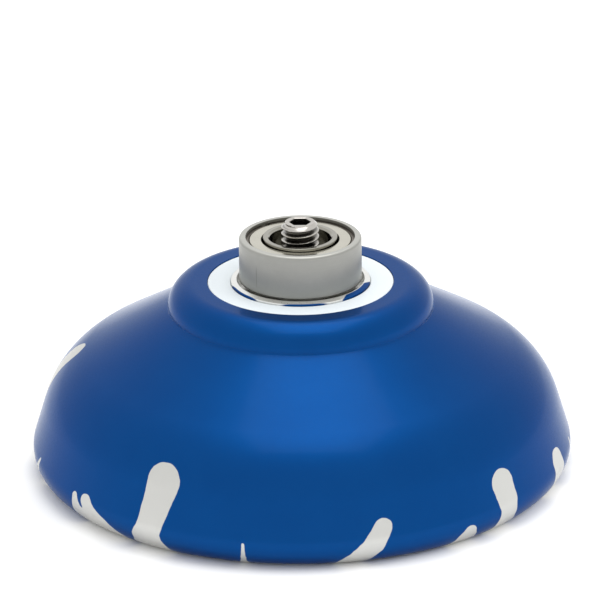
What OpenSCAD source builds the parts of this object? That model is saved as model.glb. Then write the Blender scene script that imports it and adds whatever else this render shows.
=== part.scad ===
// One half of a ball-bearing yo-yo, opened, standing on its rim with the bearing side up.
// Millimetres. Origin at the centre of the rim's rest circle, +Z along the axle.

/* [Body] */
// Largest diameter, across the rim
body_d = 56.3; // [54:0.1:60]
// Height from the rim's rest face to the flat inner face
body_h = 20.3; // [19.8:0.1:20.8]
// Radius of the rounded rim edge
rim_round = 2.6; // [2:0.1:3]
// Lean of the side wall from vertical, in degrees
side_lean = 17; // [12:0.5:20]
// Slope of the string wall below horizontal, in degrees
string_slope = 29.6; // [27:0.2:31]
// Radius of the convex shoulder between string wall and side wall
shoulder_round = 9.4; // [7:0.1:11]
// Diameter of the raised inner face
face_d = 27.6; // [26:0.1:29]
// Radius of the rounded edge of that face
face_round = 2.6; // [1.6:0.1:2.7]
// Depth of the string wall's start below the inner face
string_drop = 2.8; // [2.7:0.05:3]

/* [Cup underneath] */
// Wall thickness between the string wall and the cup
cup_wall = 2; // [1.5:0.1:2.4]
// Diameter of the cup's mouth
mouth_d = 47.2; // [45:0.1:48.5]
// Radius of the cup's inner corner
cup_round = 5; // [3:0.1:6]
// Thickness from the inner face to the cup's floor
floor_t = 3.9; // [3.6:0.1:4.4]
// Diameter of the boss round the tapped hole
boss_d = 10.4; // [8:0.1:14]
// Depth of the boss's end below the inner face
boss_depth = 7.2; // [6.8:0.1:9]

/* [Response pad] */
// Outer diameter of the pad
pad_od = 19.3; // [18.5:0.1:20]
// Inner diameter of the pad
pad_id = 14.5; // [14.3:0.1:14.8]
// Thickness of the pad
pad_t = 1.2; // [0.8:0.1:1.4]
// Depth of the pad's surface below the inner face
pad_recess = 0.05; // [0:0.05:0.3]

/* [Bearing] */
// Outer diameter of the size C bearing
bearing_od = 12.7; // [12.7]
// Bore of the bearing
bearing_bore = 6.35; // [6.35]
// Width of the bearing
bearing_w = 4.7625; // [4.7625]
// Diameter of a ball
ball_d = 1.5875; // [1.5875]
// Number of balls, one node each
ball_count = 8; // [8]

/* [Axle] */
// Diameter over the thread's crests
axle_d = 3.9; // [3.8:0.05:3.95]
// Thread pitch
thread_pitch = 0.7; // [0.7]
// Length of the set screw
axle_length = 10; // [9:0.5:11]
// Height of its upper end above the bearing's top face
axle_rise = 1.6; // [1:0.1:2.5]
// Width across the flats of its hexagon socket
socket_af = 2; // [1.8:0.1:2.2]
// Depth of the socket
socket_depth = 2.2; // [1.5:0.1:2.6]

/* [Hidden] */

eps = 0.01;
facets = 180;
small_facets = 64;

// Body outline: where its straight walls meet, and where they touch the rounds
rim_r = body_d / 2;
face_r = face_d / 2;
rim_centre = [rim_r - rim_round, rim_round];
side_up = [-sin(side_lean), cos(side_lean)];
side_foot = rim_centre + rim_round * [cos(side_lean), sin(side_lean)];
string_top = [face_r, body_h - string_drop];
string_down = [cos(string_slope), -sin(string_slope)];
string_normal = [sin(string_slope), cos(string_slope)];
shoulder_corner = meet(string_top, string_down, side_foot, side_up);
shoulder_reach = shoulder_round * tan((90 - string_slope - side_lean) / 2);
shoulder_above = shoulder_corner - shoulder_reach * string_down;
shoulder_below = shoulder_corner - shoulder_reach * side_up;
shoulder_centre = shoulder_above - shoulder_round * string_normal;

// Cup outline
mouth_r = mouth_d / 2;
mouth_chamfer = 0.4;
cup_floor_z = body_h - floor_t;
cup_line = string_top - cup_wall * string_normal;
cup_floor_edge = meet(cup_line, string_down, [0, cup_floor_z], [1, 0]);
cup_corner = meet(cup_line, string_down, [mouth_r, 0], [0, 1]);
cup_reach = cup_round * tan((90 - string_slope) / 2);
cup_above = cup_corner - cup_reach * string_down;
cup_below = cup_corner - [0, cup_reach];
cup_centre = cup_below - [cup_round, 0];
boss_chamfer = 0.5;
boss_end_z = body_h - boss_depth;

// Pad groove, lip and bearing pocket
pad_gap = 0.02;
pad_base_z = body_h - pad_recess - pad_t;
pocket_r = bearing_od / 2 + 0.25;
pocket_z = body_h - 0.75;
// The lip's top rises towards the bearing
lip_outer_z = body_h + 0.1;
lip_inner_z = body_h + 0.3;

// Bearing seat: the inner race stands on a ring and slides on a post
seat_rise = 0.14;
seat_z = body_h + seat_rise;
seat_ring_r = 3.65;
post_clearance = 0.015;
post_r = bearing_bore / 2 - post_clearance;
post_h = 2.1;
post_chamfer = 0.3;

// Bearing, measured from its middle plane
mid_z = seat_z + bearing_w / 2;
half_w = bearing_w / 2;
pitch_r = (bearing_od + bearing_bore) / 4;
ball_r = ball_d / 2;
race_clearance = 0.03;
groove_r = ball_r + race_clearance;
race_chamfer = 0.2;
bore_chamfer = 0.2;
inner_face_r = 3.85;
inner_land_r = 4.15;
inner_step = 0.85;
outer_land_r = 5.375;
recess_r = 5.65;
recess_depth = 0.82;
ring_groove_r = 5.8;
ring_groove_top = 0.34;
ring_groove_h = 0.29;

// Shield: a flange under the snap ring and a raised disc inside it
shield_t = 0.2;
shield_inner_r = 4.05;
shield_outer_r = 5.62;
shield_rise_r = 5.28;
shield_top = 0.3;

// Snap ring: a flat open ring in the outer race's groove
snap_t = 0.25;
snap_inner_r = 5.32;
snap_outer_r = 5.78;
snap_gap = 0.9;

// Ribbon cage: two halves that meet on the middle plane
cage_t = 0.15;
cage_inner_r = 4.35;
cage_outer_r = 5.2;
pocket_clearance = 0.05;
cage_pocket_r = ball_r + pocket_clearance;
cage_bump_r = cage_pocket_r + 0.12;

// Axle and its tapped hole
axle_r = axle_d / 2;
thread_depth = 0.43;
axle_chamfer = 0.4;
axle_top_z = seat_z + bearing_w + axle_rise;
axle_low_z = axle_top_z - axle_length;
hole_r = 2;
hole_z = axle_low_z - 1.4;
drill_point = hole_r / tan(59);

// Point where the line through p along u meets the line through q along v
function meet(p, u, q, v) = p + cross(q - p, v) / cross(u, v) * u;

// Slice of a disc between two directions less than 120 degrees apart
module pie(centre, r, from, to) {
    intersection() {
        translate(centre) circle(r = r, $fn = facets);
        polygon([centre,
                 centre + 2 * r * [cos(from), sin(from)],
                 centre + 2 * r * [cos(to), sin(to)]]);
    }
}

// Block of a radial section, from r0 to r1 and z0 to z1
module block(r0, r1, z0, z1) {
    translate([r0, z0]) square([r1 - r0, z1 - z0]);
}

module lathe() {
    rotate_extrude($fn = facets) children();
}

// Shows a bearing part below the middle plane as the mirror image of the one above
module bearing_end(side) {
    translate([0, 0, mid_z]) mirror([0, 0, side < 0 ? 1 : 0]) children();
}

module body_outline() {
    polygon([[0, 0], [rim_centre.x, 0], rim_centre, side_foot, shoulder_below,
             shoulder_above, string_top, [face_r, body_h - face_round],
             [face_r - face_round, body_h], [0, body_h]]);
    pie(rim_centre, rim_round, -90, side_lean);
    pie(shoulder_centre, shoulder_round, side_lean, 90 - string_slope);
    pie([face_r - face_round, body_h - face_round], face_round, 0, 90);
}

module cup_outline() {
    difference() {
        union() {
            polygon([[-1, -1], [mouth_r + mouth_chamfer + 1, -1], [mouth_r, mouth_chamfer],
                     cup_below, cup_above, cup_floor_edge, [-1, cup_floor_z]]);
            pie(cup_centre, cup_round, 0, 90 - string_slope);
        }
        polygon([[-1, cup_floor_z + 1], [boss_d / 2, cup_floor_z + 1],
                 [boss_d / 2, boss_end_z + boss_chamfer],
                 [boss_d / 2 - boss_chamfer, boss_end_z], [-1, boss_end_z]]);
    }
}

module body_half() {
    color("royalblue") lathe() difference() {
        union() {
            difference() {
                body_outline();
                cup_outline();
                block(pad_id / 2 - pad_gap, pad_od / 2 + pad_gap, pad_base_z, body_h + 1);
                block(-1, pocket_r, pocket_z, body_h + 1);
            }
            block(0, seat_ring_r, pocket_z - eps, seat_z);
            polygon([[pocket_r, pocket_z - eps], [pad_id / 2 - pad_gap, pocket_z - eps],
                     [pad_id / 2 - pad_gap, lip_outer_z], [pocket_r, lip_inner_z]]);
            polygon([[0, seat_z - eps], [post_r, seat_z - eps],
                     [post_r, seat_z + post_h - post_chamfer],
                     [post_r - post_chamfer, seat_z + post_h], [0, seat_z + post_h]]);
        }
        polygon([[-1, hole_z - drill_point], [0, hole_z - drill_point], [hole_r, hole_z],
                 [hole_r, seat_z + post_h + 1], [-1, seat_z + post_h + 1]]);
    }
}

module response_pad() {
    color("white") lathe() block(pad_id / 2, pad_od / 2, pad_base_z, pad_base_z + pad_t);
}

// One ridge of the thread: crest and root flats with sloping flanks between them
module thread_ridge(z) {
    crest = thread_pitch / 8;
    root = thread_pitch / 4;
    polygon([[0, z - thread_pitch / 2], [axle_r - thread_depth, z - thread_pitch / 2],
             [axle_r - thread_depth, z - thread_pitch / 2 + root / 2],
             [axle_r, z - crest / 2], [axle_r, z + crest / 2],
             [axle_r - thread_depth, z + thread_pitch / 2 - root / 2],
             [axle_r - thread_depth, z + thread_pitch / 2], [0, z + thread_pitch / 2]]);
}

module axle() {
    ridges = ceil(axle_length / thread_pitch);
    color("gainsboro") difference() {
        lathe() intersection() {
            for (i = [0 : ridges])
                thread_ridge(axle_low_z + i * thread_pitch);
            polygon([[0, axle_low_z], [axle_r - axle_chamfer, axle_low_z],
                     [axle_r, axle_low_z + axle_chamfer], [axle_r, axle_top_z - axle_chamfer],
                     [axle_r - axle_chamfer, axle_top_z], [0, axle_top_z]]);
        }
        translate([0, 0, axle_top_z - socket_depth])
            cylinder(d = socket_af / cos(30), h = socket_depth + 1, $fn = 6);
    }
}

module inner_race() {
    bore_r = bearing_bore / 2;
    color("lightgray") translate([0, 0, mid_z]) lathe() difference() {
        union() {
            polygon([[bore_r, bore_chamfer - half_w], [bore_r + bore_chamfer, -half_w],
                     [inner_face_r, -half_w], [inner_face_r, half_w],
                     [bore_r + bore_chamfer, half_w], [bore_r, half_w - bore_chamfer]]);
            block(bore_r, inner_land_r, inner_step - half_w, half_w - inner_step);
        }
        translate([pitch_r, 0]) circle(r = groove_r, $fn = small_facets);
    }
}

module outer_race() {
    out_r = bearing_od / 2;
    color("silver") translate([0, 0, mid_z]) lathe() difference() {
        polygon([[outer_land_r, -half_w], [out_r - race_chamfer, -half_w],
                 [out_r, race_chamfer - half_w], [out_r, half_w - race_chamfer],
                 [out_r - race_chamfer, half_w], [outer_land_r, half_w]]);
        translate([pitch_r, 0]) circle(r = groove_r, $fn = small_facets);
        for (side = [-1, 1]) scale([1, side]) {
            block(outer_land_r - 1, recess_r, half_w - recess_depth, half_w + 1);
            block(outer_land_r - 1, ring_groove_r, half_w - ring_groove_top - ring_groove_h,
                  half_w - ring_groove_top);
        }
    }
}

module ball(number) {
    color("gainsboro") translate([0, 0, mid_z])
        rotate([0, 0, (number - 1) * 360 / ball_count]) translate([pitch_r, 0, 0])
            sphere(r = ball_r, $fn = small_facets);
}

module at_balls() {
    for (i = [0 : ball_count - 1])
        rotate([0, 0, i * 360 / ball_count]) translate([pitch_r, 0, 0]) children();
}

module cage_half(side) {
    color("darkkhaki") bearing_end(side) difference() {
        intersection() {
            lathe() block(cage_inner_r, cage_outer_r, 0, cage_bump_r);
            union() {
                cylinder(r = cage_outer_r + 1, h = cage_t, $fn = facets);
                at_balls() sphere(r = cage_bump_r, $fn = small_facets);
            }
        }
        at_balls() sphere(r = cage_pocket_r, $fn = small_facets);
    }
}

module shield(side) {
    top = half_w - shield_top;
    flange_z = half_w - recess_depth;
    color("wheat") bearing_end(side) lathe() {
        block(shield_inner_r, shield_rise_r, top - shield_t, top);
        block(shield_rise_r - shield_t, shield_rise_r, flange_z, top);
        block(shield_rise_r - shield_t, shield_outer_r, flange_z, flange_z + shield_t);
    }
}

module snap_ring(side) {
    low = half_w - ring_groove_top - (ring_groove_h + snap_t) / 2;
    color("dimgray") bearing_end(side) difference() {
        lathe() block(snap_inner_r, snap_outer_r, low, low + snap_t);
        rotate([0, 0, 130]) translate([0, -snap_gap / 2, 0])
            cube([bearing_od, snap_gap, half_w + 1]);
    }
}

body_half();
response_pad();
axle();
inner_race();
outer_race();
for (number = [1 : ball_count])
    ball(number);
cage_half(1);  // cage_upper
cage_half(-1);  // cage_lower
shield(1);  // shield_upper
shield(-1);  // shield_lower
snap_ring(1);  // snap_ring_upper
snap_ring(-1);  // snap_ring_lower
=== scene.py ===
"""One half of a ball-bearing yo-yo, opened, standing on its rim with the bearing side up.

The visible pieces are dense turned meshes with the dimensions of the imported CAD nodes.
Outlines are in millimetres, as (radius, height, edge round); Blender's unit is the metre.
"""

from math import atan2, ceil, cos, degrees, hypot, pi, radians, sin, sqrt, tan

import bmesh
import bpy
from mathutils import Matrix, Vector


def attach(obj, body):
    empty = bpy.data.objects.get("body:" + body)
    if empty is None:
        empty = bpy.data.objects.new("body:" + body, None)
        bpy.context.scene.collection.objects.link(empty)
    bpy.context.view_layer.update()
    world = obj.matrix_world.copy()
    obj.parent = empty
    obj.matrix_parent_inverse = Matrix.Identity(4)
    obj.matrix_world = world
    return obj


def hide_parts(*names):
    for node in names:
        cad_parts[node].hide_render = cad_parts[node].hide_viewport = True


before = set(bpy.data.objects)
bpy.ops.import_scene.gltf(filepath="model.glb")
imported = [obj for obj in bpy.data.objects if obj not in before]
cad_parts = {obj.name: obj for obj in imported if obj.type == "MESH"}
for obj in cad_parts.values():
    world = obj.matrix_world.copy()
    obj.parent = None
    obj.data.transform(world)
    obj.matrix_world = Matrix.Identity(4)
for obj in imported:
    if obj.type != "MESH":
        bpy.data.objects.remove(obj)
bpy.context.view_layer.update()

MM = 0.001
FINE = 288          # columns round the body
MEDIUM = 192        # columns round the bearing parts
SHARP = radians(35)

# Body, in mm and radians; names that end in _R are radii, and those that end in _TOP, _END,
# _FLOOR, _LOW, _MID or _TIP are heights
RIM_R = 28.15
RIM_ROUND = 2.6
SIDE_LEAN = radians(17)
STRING_SLOPE = radians(29.6)
SHOULDER_ROUND = 9.4
FACE_R = 13.8
FACE_ROUND = 2.6
STRING_TOP = 17.5
BODY_TOP = 20.3
CUP_WALL = 2
MOUTH_R = 23.6
CUP_ROUND = 5
CUP_FLOOR = 16.4
BOSS_R = 5.2
BOSS_END = 13.1
CHAMFER = 0.5

# Pad, lip, bearing pocket and post
PAD_R = 9.65
PAD_BORE_R = 7.25
PAD_FLOOR = 19.05
PAD_THICKNESS = 1.2
PAD_GAP = 0.02
LIP_OUTER_TOP = BODY_TOP + 0.1
LIP_INNER_TOP = BODY_TOP + 0.3
POCKET_R = 6.6
POCKET_FLOOR = 19.55
SEAT_R = 3.65
SEAT_TOP = 20.44
POST_R = 3.16
POST_TOP = 22.54

# Bearing; depths are counted from the face that is nearer
BEARING_R = 6.35
BORE_R = 3.175
BEARING_MID = 22.82125
HALF_WIDTH = 2.38125
BEARING_TOP = BEARING_MID + HALF_WIDTH
BEARING_LOW = BEARING_MID - HALF_WIDTH
PITCH_R = 4.7625
BALL_GROOVE_R = 0.82375
SHIELD_DEPTH = 0.3
SHIELD_SEAT_DEPTH = 0.82
SNAP_RING_DEPTH = 0.61

# Axle and its tapped hole
AXLE_TOP = 26.8025
AXLE_LOW = 16.8025
THREAD_PITCH = 0.7
CREST_R = 1.95
ROOT_R = 1.52
HOLE_R = 2
HOLE_END = 15.4025
HOLE_TIP = 14.201


# ---------------------------------------------------------------- mesh tools

def meeting(p, u, q, v):
    """Where the line through p along u meets the line through q along v."""
    across = u[0] * v[1] - u[1] * v[0]
    t = ((q[0] - p[0]) * v[1] - (q[1] - p[1]) * v[0]) / across
    return p[0] + t * u[0], p[1] + t * u[1]


def corner_round(before, here, after, radius):
    """Points of the arc of that radius that rounds one corner of an outline."""
    back = (Vector(before) - Vector(here)).normalized()
    ahead = (Vector(after) - Vector(here)).normalized()
    turn = pi - back.angle(ahead)
    start = Vector(here) + back * radius * tan(turn / 2)
    centre = Vector(here) + (back + ahead).normalized() * radius / cos(turn / 2)
    side = 1 if ahead.x * back.y - ahead.y * back.x > 0 else -1
    steps = max(4, ceil(degrees(turn) / (4 if radius > 1 else 20)))
    spoke = start - centre
    points = []
    for k in range(steps + 1):
        angle = side * turn * k / steps
        points.append((centre.x + spoke.x * cos(angle) - spoke.y * sin(angle),
                       centre.y + spoke.x * sin(angle) + spoke.y * cos(angle)))
    return points


def rounded(corners, closed=True):
    """An outline with its edges rounded, and a point near both ends of each straight stretch."""
    runs = []
    for i, (r, z, radius) in enumerate(corners):
        if radius == 0 or (not closed and i in (0, len(corners) - 1)):
            runs.append([(r, z)])
            continue
        after = corners[(i + 1) % len(corners)]
        runs.append(corner_round(corners[i - 1][:2], (r, z), after[:2], radius))
    points = []
    for i, run in enumerate(runs):
        points += run
        if i == len(runs) - 1 and not closed:
            break
        a, b = Vector(run[-1]), Vector(runs[(i + 1) % len(runs)][0])
        length = (b - a).length
        inset = min(0.05, length / 5)
        if length > 0.02:
            points += [tuple(a.lerp(b, inset / length)), tuple(b.lerp(a, inset / length))]
    return points


def finished(name, vertices, faces, merge=False):
    """A smooth-shaded object, in metres, from vertices in millimetres."""
    mesh = bpy.data.meshes.new(name)
    mesh.from_pydata([Vector(v) * MM for v in vertices], [], faces)
    if merge:
        made = bmesh.new()
        made.from_mesh(mesh)
        bmesh.ops.remove_doubles(made, verts=made.verts, dist=1e-7)
        bmesh.ops.delete(made, geom=[v for v in made.verts if not v.link_faces],
                         context="VERTS")
        made.to_mesh(mesh)
        made.free()
    mesh.validate()
    mesh.shade_smooth()
    mesh.set_sharp_from_angle(angle=SHARP)
    piece = bpy.data.objects.new(name, mesh)
    bpy.context.scene.collection.objects.link(piece)
    return piece


def band(lower, upper, columns):
    """Faces between two rings of vertex numbers; a pole is a ring that repeats one number."""
    faces = []
    for c in range(columns):
        d = (c + 1) % len(lower)
        corners = [lower[c], lower[d], upper[d], upper[c]]
        faces.append([v for k, v in enumerate(corners) if v != corners[k - 1]])
    return faces


def lathe(name, outline, columns, closed=True, gap=None):
    """Turns an outline about Z. gap=(middle degrees, width degrees) leaves an open ring."""
    first, sweep = 0.0, 2 * pi
    if gap:
        first = radians(gap[0] + gap[1] / 2)
        sweep = 2 * pi - radians(gap[1])
    angles = [first + sweep * c / columns for c in range(columns + (1 if gap else 0))]
    vertices, rings = [], []
    for r, z in outline:
        if r < 1e-6:
            rings.append([len(vertices)] * len(angles))
            vertices.append((0, 0, z))
            continue
        rings.append(range(len(vertices), len(vertices) + len(angles)))
        vertices += [(r * cos(a), r * sin(a), z) for a in angles]
    faces = []
    for i in range(len(rings) if closed else len(rings) - 1):
        faces += band(rings[i], rings[(i + 1) % len(rings)], columns)
    if gap:
        faces.append([ring[0] for ring in rings])
        faces.append([ring[-1] for ring in reversed(rings)])
    return finished(name, vertices, faces)


def mirrored(corners, middle):
    """The outline's image in the plane z = middle, reversed so that its faces stay outward."""
    return [(r, 2 * middle - z, radius) for r, z, radius in reversed(corners)]


# ---------------------------------------------------------------- node tools

class Graph:
    """Adds shader nodes to one material or node group and joins them up."""

    def __init__(self, tree):
        self.tree = tree

    def feed(self, socket, value):
        if isinstance(value, bpy.types.NodeSocket):
            self.tree.links.new(value, socket)
        else:
            socket.default_value = value

    def node(self, kind, inputs=None, **settings):
        made = self.tree.nodes.new("ShaderNode" + kind)
        for key, value in settings.items():
            setattr(made, key, value)
        for key, value in (inputs or {}).items():
            self.feed(made.inputs[key], value)
        return made

    def math(self, operation, *values, clamp=False):
        inputs = dict(enumerate(values))
        return self.node("Math", inputs, operation=operation, use_clamp=clamp).outputs[0]

    def vector(self, operation, *values):
        made = self.node("VectorMath", dict(enumerate(values)), operation=operation)
        return made.outputs["Value" if operation in ("LENGTH", "DOT_PRODUCT") else "Vector"]

    def step(self, value, low, high, to_low=0.0, to_high=1.0):
        """A smooth step from to_low to to_high as value goes from low to high."""
        inputs = {"Value": value, "From Min": low, "From Max": high,
                  "To Min": to_low, "To Max": to_high}
        return self.node("MapRange", inputs, interpolation_type="SMOOTHSTEP").outputs[0]

    def noise(self, place, scale, detail=2.0, roughness=0.5):
        inputs = {"Vector": place, "Scale": scale, "Detail": detail, "Roughness": roughness}
        return self.node("TexNoise", inputs).outputs["Fac"]

    def scaled(self, vector, factor):
        made = self.node("VectorMath", {0: vector, "Scale": factor}, operation="SCALE")
        return made.outputs["Vector"]

    def colour(self, factor, a, b):
        """A colour between a at factor 0 and b at factor 1."""
        made = self.node("Mix", data_type="RGBA")
        self.feed(made.inputs[0], factor)
        self.feed(made.inputs[6], (*a, 1))
        self.feed(made.inputs[7], (*b, 1))
        return made.outputs[2]

    def bump(self, height, depth, normal=None):
        inputs = {"Height": height, "Distance": depth * MM, "Strength": 1.0}
        if normal:
            inputs["Normal"] = normal
        return self.node("Bump", inputs).outputs[0]


def new_material(name):
    material = bpy.data.materials.new(name)
    material.use_nodes = True
    material.node_tree.nodes.clear()
    return material, Graph(material.node_tree)


def millimetres(g):
    """The piece's own coordinates in millimetres: they go with it when it moves."""
    return g.scaled(g.node("TexCoord").outputs["Object"], 1 / MM)


def cylinder_parts(g, place):
    """Degrees round the axle from the front, towards +X, with the radius and the height."""
    split = g.node("SeparateXYZ", {0: place})
    x, y, z = split.outputs
    turn = g.math("ARCTAN2", x, g.math("MULTIPLY", y, -1.0))
    flat = g.node("CombineXYZ", {0: x, 1: y})
    return g.math("DEGREES", turn), g.vector("LENGTH", flat.outputs[0]), z


def surface(g, **inputs):
    """A Principled shader; underscores in the names stand for spaces."""
    named = {key.replace("_", " "): value for key, value in inputs.items()}
    return g.node("BsdfPrincipled", named).outputs[0]


def close(g, shader):
    g.node("OutputMaterial", {"Surface": shader})


# ---------------------------------------------------------------- the body's outline

def body_corners():
    """The body from the middle of its boss, round the rim, to the bottom of the tapped hole."""
    mouth_chamfer, post_chamfer = 0.4, 0.3
    rim_centre = (RIM_R - RIM_ROUND, RIM_ROUND)
    side_foot = (rim_centre[0] + RIM_ROUND * cos(SIDE_LEAN),
                 rim_centre[1] + RIM_ROUND * sin(SIDE_LEAN))
    side_up = (-sin(SIDE_LEAN), cos(SIDE_LEAN))
    string_top = (FACE_R, STRING_TOP)
    down = (cos(STRING_SLOPE), -sin(STRING_SLOPE))
    cup_line = (FACE_R - CUP_WALL * sin(STRING_SLOPE), STRING_TOP - CUP_WALL * cos(STRING_SLOPE))
    rim_corner = meeting(side_foot, side_up, (0, 0), (1, 0))
    shoulder = meeting(string_top, down, side_foot, side_up)
    cup_floor = meeting(cup_line, down, (0, CUP_FLOOR), (1, 0))
    cup_corner = meeting(cup_line, down, (MOUTH_R, 0), (0, 1))
    cup = [(0, BOSS_END, 0), (BOSS_R - CHAMFER, BOSS_END, 0.15),
           (BOSS_R, BOSS_END + CHAMFER, 0.15), (BOSS_R, CUP_FLOOR, 0.4), (*cup_floor, 0.8),
           (*cup_corner, CUP_ROUND), (MOUTH_R, mouth_chamfer, 0.12),
           (MOUTH_R + mouth_chamfer, 0, 0.12)]
    outside = [(*rim_corner, RIM_ROUND), (*shoulder, SHOULDER_ROUND), (*string_top, 0.08),
               (FACE_R, BODY_TOP, FACE_ROUND)]
    groove = [(PAD_R + PAD_GAP, BODY_TOP, 0.05), (PAD_R + PAD_GAP, PAD_FLOOR, 0.05),
              (PAD_BORE_R - PAD_GAP, PAD_FLOOR, 0.05),
              (PAD_BORE_R - PAD_GAP, LIP_OUTER_TOP, 0.07), (POCKET_R, LIP_INNER_TOP, 0.07)]
    pocket = [(POCKET_R, POCKET_FLOOR, 0.05), (SEAT_R, POCKET_FLOOR, 0.05),
              (SEAT_R, SEAT_TOP, 0.05), (POST_R, SEAT_TOP, 0.04),
              (POST_R, POST_TOP - post_chamfer, 0.06), (POST_R - post_chamfer, POST_TOP, 0.06),
              (HOLE_R, POST_TOP, 0.06), (HOLE_R, HOLE_END, 0.06), (0, HOLE_TIP, 0)]
    return cup + outside + groove + pocket


def along_outline(points, zero):
    """Distance along the outline to each point, counted from the point nearest to zero."""
    total, walked = 0.0, []
    for i, p in enumerate(points):
        if i:
            total += hypot(p[0] - points[i - 1][0], p[1] - points[i - 1][1])
        walked.append(total)
    nearest = min(range(len(points)), key=lambda i: hypot(points[i][0] - zero[0],
                                                          points[i][1] - zero[1]))
    return [w - walked[nearest] for w in walked]


def make_body():
    outline = rounded(body_corners(), closed=False)
    piece = lathe("yoyo_body", outline, FINE, closed=False)
    walked = along_outline(outline, (RIM_R - RIM_ROUND, 0))
    values = []
    for (r, z), w in zip(outline, walked):
        values += [w] * (1 if r < 1e-6 else FINE)
    attribute = piece.data.attributes.new("along", "FLOAT", "POINT")
    attribute.data.foreach_set("value", values)
    return piece


# ---------------------------------------------------------------- the other pieces

def make_pad():
    top = PAD_FLOOR + PAD_THICKNESS
    corners = [(PAD_BORE_R, PAD_FLOOR, 0.05), (PAD_R, PAD_FLOOR, 0.05), (PAD_R, top, 0.14),
               (PAD_BORE_R, top, 0.14)]
    return lathe("pad_ring", rounded(corners), MEDIUM)


def raceway(land_r, side):
    """The ball groove's arc between its edges on the land, from low to high.

    side is -1 for the inner race's groove and 1 for the outer race's.
    """
    steps = 24
    offset = abs(land_r - PITCH_R)
    half = atan2(sqrt(BALL_GROOVE_R ** 2 - offset ** 2), offset)
    points = []
    for k in range(steps + 1):
        angle = half * (2 * k / steps - 1)
        points.append((PITCH_R + side * BALL_GROOVE_R * cos(angle),
                       BEARING_MID + BALL_GROOVE_R * sin(angle)))
    return points


def make_inner_race():
    face_r, land_r, step, chamfer = 3.85, 4.15, 0.85, 0.2
    lower = [(BORE_R + chamfer, BEARING_LOW, 0.05), (face_r, BEARING_LOW, 0.06),
             (face_r, BEARING_LOW + step, 0.03), (land_r, BEARING_LOW + step, 0.05)]
    upper = [(land_r, BEARING_TOP - step, 0.05), (face_r, BEARING_TOP - step, 0.03),
             (face_r, BEARING_TOP, 0.06), (BORE_R + chamfer, BEARING_TOP, 0.05)]
    bore = [(BORE_R, BEARING_TOP - chamfer, 0.05), (BORE_R, BEARING_LOW + chamfer, 0.05)]
    groove = [(r, z, 0) for r, z in raceway(land_r, -1)]
    return lathe("bearing_inner_ring", rounded(lower + groove + upper + bore), MEDIUM)


def make_outer_race():
    """Each end has a recess for the shield and, in its wall, a groove for the snap ring."""
    land_r, recess_r, groove_r = 5.375, 5.65, 5.8
    deep, shallow = 0.63, 0.34
    ends = [(land_r, SHIELD_SEAT_DEPTH, 0.03), (recess_r, SHIELD_SEAT_DEPTH, 0.02),
            (recess_r, deep, 0.02), (groove_r, deep, 0.02), (groove_r, shallow, 0.02),
            (recess_r, shallow, 0.02), (recess_r, 0, 0.03), (BEARING_R, 0, 0.3)]
    upper = [(r, BEARING_TOP - depth, radius) for r, depth, radius in ends]
    lower = [(r, BEARING_LOW + depth, radius) for r, depth, radius in reversed(ends)]
    groove = [(r, z, 0) for r, z in reversed(raceway(land_r, 1))]
    corners = lower + groove + upper
    return lathe("bearing_outer_ring", rounded(list(reversed(corners))), MEDIUM)


def shield_corners():
    """The raised disc of the upper shield and the flange that its snap ring holds."""
    sheet = 0.2
    inner_r, rise_r, flange_r = 4.05, 5.28, 5.62
    top = BEARING_TOP - SHIELD_DEPTH
    flange = BEARING_TOP - SHIELD_SEAT_DEPTH
    return [(inner_r, top - sheet, 0.03), (rise_r - sheet, top - sheet, 0.04),
            (rise_r - sheet, flange, 0.06), (flange_r, flange, 0.03),
            (flange_r, flange + sheet, 0.03), (rise_r, flange + sheet, 0.04),
            (rise_r, top, 0.12), (inner_r, top, 0.05)]


def snap_ring_corners():
    inner_r, outer_r, thickness, edge = 5.32, 5.78, 0.25, 0.05
    low = BEARING_TOP - SNAP_RING_DEPTH
    return [(inner_r, low, edge), (outer_r, low, edge), (outer_r, low + thickness, edge),
            (inner_r, low + thickness, edge)]


def make_shields_and_rings():
    """The upper shield and snap ring, and their mirror images at the bearing's lower face."""
    opening, middle_r = 0.9, 5.55
    gap = (130, degrees(opening / middle_r))
    made = {}
    for place in ("upper", "lower"):
        shield, ring = shield_corners(), snap_ring_corners()
        if place == "lower":
            shield, ring = mirrored(shield, BEARING_MID), mirrored(ring, BEARING_MID)
        made["shield_" + place] = lathe("bearing_shield_" + place, rounded(shield), MEDIUM)
        made["snap_ring_" + place] = lathe("bearing_snap_ring_" + place, rounded(ring),
                                           MEDIUM, gap=gap)
    return made


def thread_profile():
    """One turn of the thread as (share of the pitch, radius): root, flank, crest, flank."""
    root_edge, lower_flank, upper_flank, crest_edge = ROOT_R + 0.03, 1.66, 1.8, CREST_R - 0.04
    rise = [(0.0, ROOT_R), (0.11, ROOT_R), (0.15, root_edge), (0.24, lower_flank),
            (0.33, upper_flank), (0.41, crest_edge), (0.45, CREST_R), (0.5, CREST_R)]
    fall = [(0.55, CREST_R), (0.59, crest_edge), (0.67, upper_flank), (0.76, lower_flank),
            (0.85, root_edge), (0.89, ROOT_R)]
    return rise + fall


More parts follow.
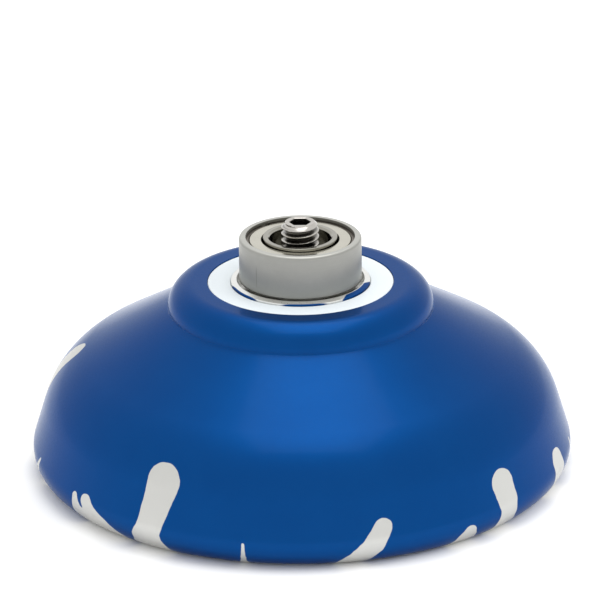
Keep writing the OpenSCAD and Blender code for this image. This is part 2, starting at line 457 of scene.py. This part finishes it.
def thread_grid(columns, end_r):
    """Vertices and faces of the screw's flank: a true helix, drawn in to end_r at both ends."""
    phase = 0.32
    profile = thread_profile()
    turns = ceil((AXLE_TOP - AXLE_LOW) / THREAD_PITCH) + 3
    rows = turns * len(profile)
    vertices, faces = [], []
    for c in range(columns):
        angle = 2 * pi * c / columns
        for row in range(rows):
            turn, part = divmod(row, len(profile))
            share, r = profile[part]
            z = AXLE_LOW + phase + THREAD_PITCH * (turn - 2 + c / columns + share)
            z = min(max(z, AXLE_LOW), AXLE_TOP)
            r = min(r, end_r + min(AXLE_TOP - z, z - AXLE_LOW))
            vertices.append((r * cos(angle), r * sin(angle), z))
    for c in range(columns):
        d = (c + 1) % columns
        shift = 0 if d else len(profile)
        for row in range(rows - 1 - shift):
            a, b = c * rows + row, d * rows + row + shift
            faces.append((a, b, b + 1, a + 1))
    return vertices, faces


def make_axle():
    """The set screw: thread, chamfered ends and a hexagon socket whose corners point to +-X."""
    columns, end_r, flat_r, depth, drill_tip = 96, 1.5, 1.0, 2.2, 0.35
    vertices, faces = thread_grid(columns, end_r)

    def circle(radius, z):
        start = len(vertices)
        for c in range(columns):
            angle = 2 * pi * c / columns
            vertices.append((radius * cos(angle), radius * sin(angle), z))
        return list(range(start, start + columns))

    def hexagon(across_half, z):
        start = len(vertices)
        for c in range(columns):
            angle = 2 * pi * c / columns
            r = across_half / cos(angle % (pi / 3) - pi / 6)
            vertices.append((r * cos(angle), r * sin(angle), z))
        return list(range(start, start + columns))

    def pole(z):
        vertices.append((0, 0, z))
        return [len(vertices) - 1] * columns

    bottom = [pole(AXLE_LOW), circle(end_r - 0.1, AXLE_LOW), circle(end_r, AXLE_LOW)]
    socket = [circle(end_r, AXLE_TOP), circle(end_r - 0.06, AXLE_TOP),
              hexagon(flat_r + 0.08, AXLE_TOP), hexagon(flat_r, AXLE_TOP - 0.07),
              hexagon(flat_r, AXLE_TOP - 0.14), hexagon(flat_r, AXLE_TOP - depth),
              pole(AXLE_TOP - depth - drill_tip)]
    for rings in (bottom, socket):
        for lower, upper in zip(rings, rings[1:]):
            faces += band(lower, upper, columns)
    return finished("set_screw", vertices, faces, merge=True)


# ---------------------------------------------------------------- materials

# The splash pattern. Each drip runs upwards as points (degrees round from the front, distance
# up the outline from the rim in mm, half-width in mm); positive degrees are towards +X.
DRIPS = [
    [(-33.6, -3, 2.9), (-33.8, 1.4, 2.3), (-34.3, 3.1, 1.75), (-33.8, 4.2, 1.42),
     (-32.7, 6.4, 1.6), (-31.5, 9.4, 1.95)],
    [(-48, -3, 3.6), (-50.5, 1.2, 2.5), (-55.0, 3.1, 1.0), (-55.9, 4.65, 0.42)],
    [(-42, -3, 1.6), (-43.5, 1.3, 1.3), (-47, 2.6, 1.2), (-50.2, 3.6, 1.05), (-51.9, 4.65, 0.8)],
    [(-79, -3, 1.0), (-79, 2.9, 0.6), (-77, 3.9, 0.35), (-75.4, 4.95, 0.14)],
    [(-12.8, -3, 0.9), (-12.6, 1.4, 0.45), (-12.4, 2.6, 0.25), (-12.4, 4.3, 0.13)],
    [(9, -3, 2.2), (10, 1.2, 1.5), (12.2, 2.7, 1.2), (14.8, 4.1, 1.05), (16.8, 5.75, 0.95)],
    [(36, -3, 2.0), (36.3, 1.0, 1.7), (36.6, 2.2, 1.3), (37, 3.1, 0.8)],
    [(47.5, -3, 2.4), (47.5, 0.8, 1.9), (47.8, 2.2, 1.4), (48.2, 3.6, 1.2), (48.1, 5.0, 1.38),
     (47.6, 6.8, 1.6)],
    [(71.5, -3, 2.6), (71.3, 1.5, 2.0), (71.2, 3.5, 1.6), (70.7, 5.2, 1.4)],
    [(84.5, -3, 0.8), (84, 3.5, 0.35), (83.5, 5.0, 0.2)],
    [(-97, -3, 3.2), (-96.5, 3, 2.3), (-96, 6, 1.75), (-95.2, 10, 1.7), (-95, 13.9, 1.85)],
    [(104, -3, 2.6), (105, 3.5, 1.5), (107, 8.2, 1.55)],
    [(124, -3, 2.0), (123, 2.4, 1.1), (121, 4.2, 0.5)],
    [(139, -3, 3.0), (140, 2.6, 1.8), (141.5, 5.2, 1.2), (141, 7.4, 1.3)],
    [(158, -3, 2.4), (157, 5, 1.5), (158.5, 11.3, 1.75)],
    [(172, -3, 0.8), (171.5, 3.6, 0.2)],
    [(-170, -3, 3.2), (-168, 2.2, 1.8), (-167, 5.8, 1.25)],
    [(-152, -3, 2.8), (-150, 2.0, 1.5), (-147.5, 3.6, 0.7)],
    [(-132, -3, 2.4), (-131, 4.5, 1.4), (-129.5, 9.4, 1.6)],
    [(-114, -3, 1.0), (-113, 2.5, 0.5), (-112.5, 5.4, 0.2)],
]
MM_PER_DEGREE = 0.49    # one width for a degree at every height: the rim's

# Blue left on the lip's outer edge: first and last degree, fade in degrees, width in mm
LIP_TRACES = [(40, 80, 5, 0.52), (-75, -42, 6, 0.16), (-12, 18, 8, 0.13)]

# Steels: dark tone, light tone, roughness, depth of the turning marks in mm, marks per mm
STEELS = {
    "screw": ((0.42, 0.4, 0.37), (0.52, 0.5, 0.47), 0.2, 0.002, 14),
    # The inner race's tones, darker and browner than the other steels, are a painted brown
    # reflection.
    "inner_race": ((0.28, 0.27, 0.235), (0.36, 0.35, 0.31), 0.14, 0.002, 14),
    "outer_race": ((0.42, 0.42, 0.39), (0.48, 0.48, 0.45), 0.4, 0.002, 14),
    # The shield's beige-brown tint is a painted brown reflection.
    "shield": ((0.46, 0.445, 0.38), (0.54, 0.52, 0.45), 0.15, 0.001, 8),
    # The snap ring's very dark tones are painted shade: it sits in the shadow of its groove.
    "ring": ((0.1, 0.085, 0.07), (0.16, 0.14, 0.115), 0.3, 0.001, 14),
    "ball": ((0.58, 0.58, 0.57), (0.66, 0.66, 0.65), 0.1, 0.0004, 14),
    "cage": ((0.42, 0.4, 0.33), (0.5, 0.47, 0.4), 0.3, 0.001, 14),
}


def stroke_group():
    """A node group that adds one tapered stroke to the splash pattern.

    Carried holds mm across, mm along and the distance in mm to the nearest stroke so far.
    """
    tree = bpy.data.node_groups.new("tapered_stroke", "ShaderNodeTree")
    sides = [("Carried", "INPUT", "Vector"), ("Start", "INPUT", "Vector"),
             ("Reach", "INPUT", "Vector"), ("Pull", "INPUT", "Vector"),
             ("Half", "INPUT", "Float"), ("Growth", "INPUT", "Float"),
             ("Result", "OUTPUT", "Vector")]
    for label, in_out, kind in sides:
        tree.interface.new_socket(label, in_out=in_out, socket_type="NodeSocket" + kind)
    g = Graph(tree)
    given = tree.nodes.new("NodeGroupInput").outputs
    offset = g.vector("SUBTRACT", given["Carried"], given["Start"])
    share = g.math("MULTIPLY", g.vector("DOT_PRODUCT", offset, given["Pull"]), 1.0, clamp=True)
    beside = g.vector("SUBTRACT", offset, g.scaled(given["Reach"], share))
    away = g.vector("LENGTH", g.vector("MULTIPLY", beside, (1, 1, 0)))
    half = g.math("MULTIPLY_ADD", share, given["Growth"], given["Half"])
    across, along, nearest = g.node("SeparateXYZ", {0: given["Carried"]}).outputs
    nearest = g.math("SMOOTH_MIN", nearest, g.math("SUBTRACT", away, half), 0.25)
    result = g.node("CombineXYZ", {0: across, 1: along, 2: nearest}).outputs[0]
    tree.links.new(result, tree.nodes.new("NodeGroupOutput").inputs[0])
    return tree


def splash_distance(g, degrees_round, along):
    """Distance in mm to the nearest drip, less than zero inside it."""
    tree = stroke_group()
    across = g.math("MULTIPLY", degrees_round, MM_PER_DEGREE)
    carried = g.node("CombineXYZ", {0: across, 1: along, 2: 10.0}).outputs[0]
    for drip in DRIPS:
        for (d0, s0, w0), (d1, s1, w1) in zip(drip, drip[1:]):
            start = Vector((d0 * MM_PER_DEGREE, s0, 0))
            reach = Vector((d1 * MM_PER_DEGREE, s1, 0)) - start
            made = g.node("Group", node_tree=tree)
            settings = {"Carried": carried, "Start": start, "Reach": reach,
                        "Pull": reach / reach.length_squared, "Half": w0, "Growth": w1 - w0}
            for key, value in settings.items():
                g.feed(made.inputs[key], value)
            carried = made.outputs[0]
    return g.node("SeparateXYZ", {0: carried}).outputs[2]


def window(g, value, low, high, soft):
    """1 while value is between low and high, with soft edges."""
    rise = g.step(value, low - soft, low + soft)
    fall = g.step(value, high - soft, high + soft, 1.0, 0.0)
    return g.math("MULTIPLY", rise, fall)


def bare_metal(g, turn, radius, height, along, place):
    """1 where the blue is missing: the drips, and the machined lip, pocket and post."""
    lip_edge, machined_low, soft = PAD_BORE_R + 0.01, 17.9, 0.03
    wobble = g.math("MULTIPLY_ADD", g.noise(place, 0.9), 0.24, -0.12)
    drips = g.math("ADD", splash_distance(g, turn, along), wobble)
    blue_left = 0.0
    for first, last, fade, width in LIP_TRACES:
        trace = g.math("MULTIPLY", window(g, turn, first, last, fade), width)
        blue_left = g.math("ADD", blue_left, trace)
    machined = g.math("ADD", g.math("SUBTRACT", radius, lip_edge), blue_left)
    machined = g.math("MAXIMUM", machined, g.math("SUBTRACT", machined_low, height))
    return g.step(g.math("MINIMUM", drips, machined), -soft, soft, 1.0, 0.0)


def blue_shader(g, cloud, grain, relief):
    """Satin blue dye under a thin clear coat; the coat gives the pale edges."""
    tone = g.colour(cloud, (0.0003, 0.048, 0.2), (0.0008, 0.056, 0.222))
    return surface(g, Base_Color=tone, Metallic=1.0, Roughness=g.step(grain, 0.2, 0.8, 0.38, 0.46),
                   Specular_Tint=(0.4, 0.5, 0.66, 1), Coat_Weight=0.75, Coat_Roughness=0.14,
                   Coat_IOR=1.15, Normal=relief)


def silver_shader(g, cloud, grain, relief, radius, height):
    """Bare aluminium, brighter and smoother on the machined lip."""
    low, edge, fade = 19.4, 7.3, 0.1
    lip = g.math("MULTIPLY", g.step(height, low, low + fade),
                 g.step(radius, edge, edge + fade, 1.0, 0.0))
    tone = g.colour(cloud, (0.52, 0.52, 0.5), (0.57, 0.57, 0.55))
    tone = g.scaled(tone, g.math("MULTIPLY_ADD", lip, 0.35, 1.0))
    rough = g.math("MULTIPLY_ADD", lip, -0.1, g.step(grain, 0.2, 0.8, 0.36, 0.44))
    return surface(g, Base_Color=tone, Metallic=1.0, Roughness=rough, Normal=relief)


def anodised_material():
    material, g = new_material("anodised_splash")
    place = millimetres(g)
    turn, radius, height = cylinder_parts(g, place)
    along = g.node("Attribute", attribute_name="along").outputs["Fac"]
    bare = bare_metal(g, turn, radius, height, along, place)
    cloud = g.noise(place, 0.22, 3.0, 0.6)
    marks = {"W": g.math("MULTIPLY", along, 9.0), "Scale": 1.0, "Detail": 3.0}
    turned = g.node("TexNoise", marks, noise_dimensions="1D").outputs["Fac"]
    grain = g.noise(place, 5.0, 3.0, 0.6)
    relief = g.bump(grain, 0.0012, g.bump(turned, 0.0012))
    blue = blue_shader(g, cloud, grain, relief)
    silver = silver_shader(g, cloud, grain, relief, radius, height)
    close(g, g.node("MixShader", {0: bare, 1: blue, 2: silver}).outputs[0])
    return material


def silicone_material():
    material, g = new_material("white_silicone")
    place = millimetres(g)
    speck = g.noise(place, 3.0, 4.0, 0.6)
    tone = g.colour(speck, (0.63, 0.68, 0.71), (0.69, 0.74, 0.77))
    fine = g.noise(place, 9.0, 2.0)
    close(g, surface(g, Base_Color=tone, Roughness=g.step(speck, 0.3, 0.7, 0.45, 0.6),
                     Subsurface_Weight=0.15, Subsurface_Radius=(1, 1, 1),
                     Subsurface_Scale=0.0006, Specular_IOR_Level=0.4,
                     Normal=g.bump(fine, 0.004)))
    return material


def oiled_roots(g, tone, radius, height):
    """The screw's tone with painted shade: darker between the crests, in the thread's roots,
    except at its upper end.
    """
    # Painted shade: the roots get 0.3 of the tone, and the crests and the upper end get the full
    # tone.
    root_shade_factor = g.math("MAXIMUM", g.step(radius, ROOT_R + 0.1, CREST_R - 0.01, 0.3, 1.0),
                   g.step(height, AXLE_TOP - 0.5, AXLE_TOP - 0.3))
    return g.scaled(tone, root_shade_factor)


def ground_side(g, tone, turn, radius, height):
    """The outer race's tone with painted shade, darker on its side and darker still in its
    recesses, and its one nick, a real scratch.
    """
    nick_low, nick_high, nick_left, nick_right = 21.4, 23.3, -45.9, -45.1
    # Painted shade: the side is darker than the top, and the recesses inside the race are darker
    # still.
    wall = g.step(radius, 6.15, 6.33, 1.0, 0.68)
    wall = g.math("MULTIPLY", wall, g.step(radius, 5.62, 5.7, 0.3, 1.0))
    nick = g.math("MULTIPLY", window(g, height, nick_low, nick_high, 0.5),
                  window(g, turn, nick_left, nick_right, 0.4))
    nick = g.math("MULTIPLY", nick, g.step(radius, 6.2, 6.3))
    inputs = {0: g.math("MULTIPLY", nick, 0.55), 6: g.scaled(tone, wall),
              7: (0.12, 0.11, 0.1, 1)}
    return g.node("Mix", inputs, data_type="RGBA").outputs[2], nick


def steel_material(name):
    """Turned or ground steel, with fine rings that run round the axle."""
    dark, light, rough, depth, per_mm = STEELS[name]
    material, g = new_material(name + "_steel")
    place = millimetres(g)
    turn, radius, height = cylinder_parts(g, place)
    stretched = {0: g.math("MULTIPLY", radius, per_mm), 1: g.math("MULTIPLY", height, per_mm),
                 2: g.math("MULTIPLY", turn, 0.02)}
    marks = g.noise(g.node("CombineXYZ", stretched).outputs[0], 1.0, 3.0, 0.65)
    tone = g.colour(g.noise(place, 0.6, 3.0, 0.6), dark, light)
    roughness = g.step(marks, 0.25, 0.75, rough - 0.04, rough + 0.05)
    relief = g.bump(marks, depth)
    # The screw gets painted shade in its thread roots.
    if name == "screw":
        tone = oiled_roots(g, tone, radius, height)
    # The outer race gets painted shade on its side and in its recesses, and its real nick.
    if name == "outer_race":
        tone, nick = ground_side(g, tone, turn, radius, height)
        relief = g.bump(nick, -0.02, relief)
    close(g, surface(g, Base_Color=tone, Metallic=1.0, Roughness=roughness, Normal=relief))
    return material


def use(piece, material, slot, body=None, *nodes):
    """Gives a piece its material, and a new piece also its body and the nodes it replaces; slot is
    not used.
    """
    piece.data.materials.clear()
    piece.data.materials.append(material)
    if body:
        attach(piece, body)
        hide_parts(*nodes)


def build_object():
    use(make_body(), anodised_material(), "anodised_aluminium", "half", "body_half")
    use(make_pad(), silicone_material(), "silicone", "half", "response_pad")
    use(make_axle(), steel_material("screw"), "screw_steel", "axle", "axle")
    use(make_inner_race(), steel_material("inner_race"), "race_steel", "bearing_inner",
        "inner_race")
    use(make_outer_race(), steel_material("outer_race"), "race_steel", "bearing_outer",
        "outer_race")
    shield, ring = steel_material("shield"), steel_material("ring")
    for node, piece in make_shields_and_rings().items():
        if node.startswith("shield"):
            use(piece, shield, "shield_steel", "bearing_outer", node)
        else:
            use(piece, ring, "ring_steel", "bearing_outer", node)
    ball, cage = steel_material("ball"), steel_material("cage")
    for number in range(1, 9):
        use(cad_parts["ball_" + str(number)], ball, "ball_steel")
    for node in ("cage_upper", "cage_lower"):
        use(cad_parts[node], cage, "cage_steel")


# ---------------------------------------------------------------- floor, light and camera

def make_floor():
    half, low = 2.0, -0.00002
    mesh = bpy.data.meshes.new("floor")
    mesh.from_pydata([(-half, -half, low), (half, -half, low), (half, half, low),
                      (-half, half, low)], [], [(0, 1, 2, 3)])
    floor = bpy.data.objects.new("floor", mesh)
    bpy.context.scene.collection.objects.link(floor)
    material, g = new_material("pale_floor")
    close(g, surface(g, Base_Color=(0.96, 0.96, 0.96, 1), Roughness=0.6,
                     Specular_IOR_Level=0.2))
    mesh.materials.append(material)


def softbox(name, place, aim, width, depth, radiance, glossy=True):
    """A rectangular area light of that radiance, turned so that it shines at aim."""
    light = bpy.data.lights.new(name, "AREA")
    light.shape = "RECTANGLE"
    light.size, light.size_y = width, depth
    light.energy = radiance * pi * width * depth
    lamp = bpy.data.objects.new(name, light)
    lamp.location = place
    lamp.rotation_euler = (Vector(aim) - Vector(place)).to_track_quat("-Z", "Y").to_euler()
    lamp.visible_glossy = glossy
    bpy.context.scene.collection.objects.link(lamp)


def make_light():
    world = bpy.data.worlds.new("studio")
    bpy.context.scene.world = world
    world.use_nodes = True
    background = world.node_tree.nodes["Background"]
    background.inputs["Color"].default_value = (1, 1, 1, 1)
    background.inputs["Strength"].default_value = 1.12
    softbox("softbox_above", (0.035, 0.1, 0.55), (0.035, 0.1, 0), 0.34, 0.6, 1.6)
    softbox("softbox_right", (0.42, -0.06, 0.3), (0, 0, 0), 0.3, 0.3, 3.2, glossy=False)


def make_camera():
    """Long lens 0.5 m away, 21.66 degrees above the horizon, leaning half a degree."""
    tilt, roll, away = radians(21.66), radians(-0.548), 0.5
    back = Vector((0, -cos(tilt), sin(tilt)))
    level, rise = Vector((1, 0, 0)), Vector((0, sin(tilt), cos(tilt)))
    right = level * cos(roll) + rise * sin(roll)
    up = rise * cos(roll) - level * sin(roll)
    data = bpy.data.cameras.new("camera")
    data.lens, data.sensor_width = 289.0, 36
    data.clip_start, data.clip_end = 0.01, 10
    camera = bpy.data.objects.new("camera", data)
    place = Matrix((right, up, back)).transposed().to_4x4()
    place.translation = Vector((-0.08, 0, 18.08)) * MM + back * away
    camera.matrix_world = place
    bpy.context.scene.collection.objects.link(camera)
    bpy.context.scene.camera = camera


build_object()
make_floor()
make_light()
make_camera()
bpy.context.scene.view_settings.view_transform = "Standard"
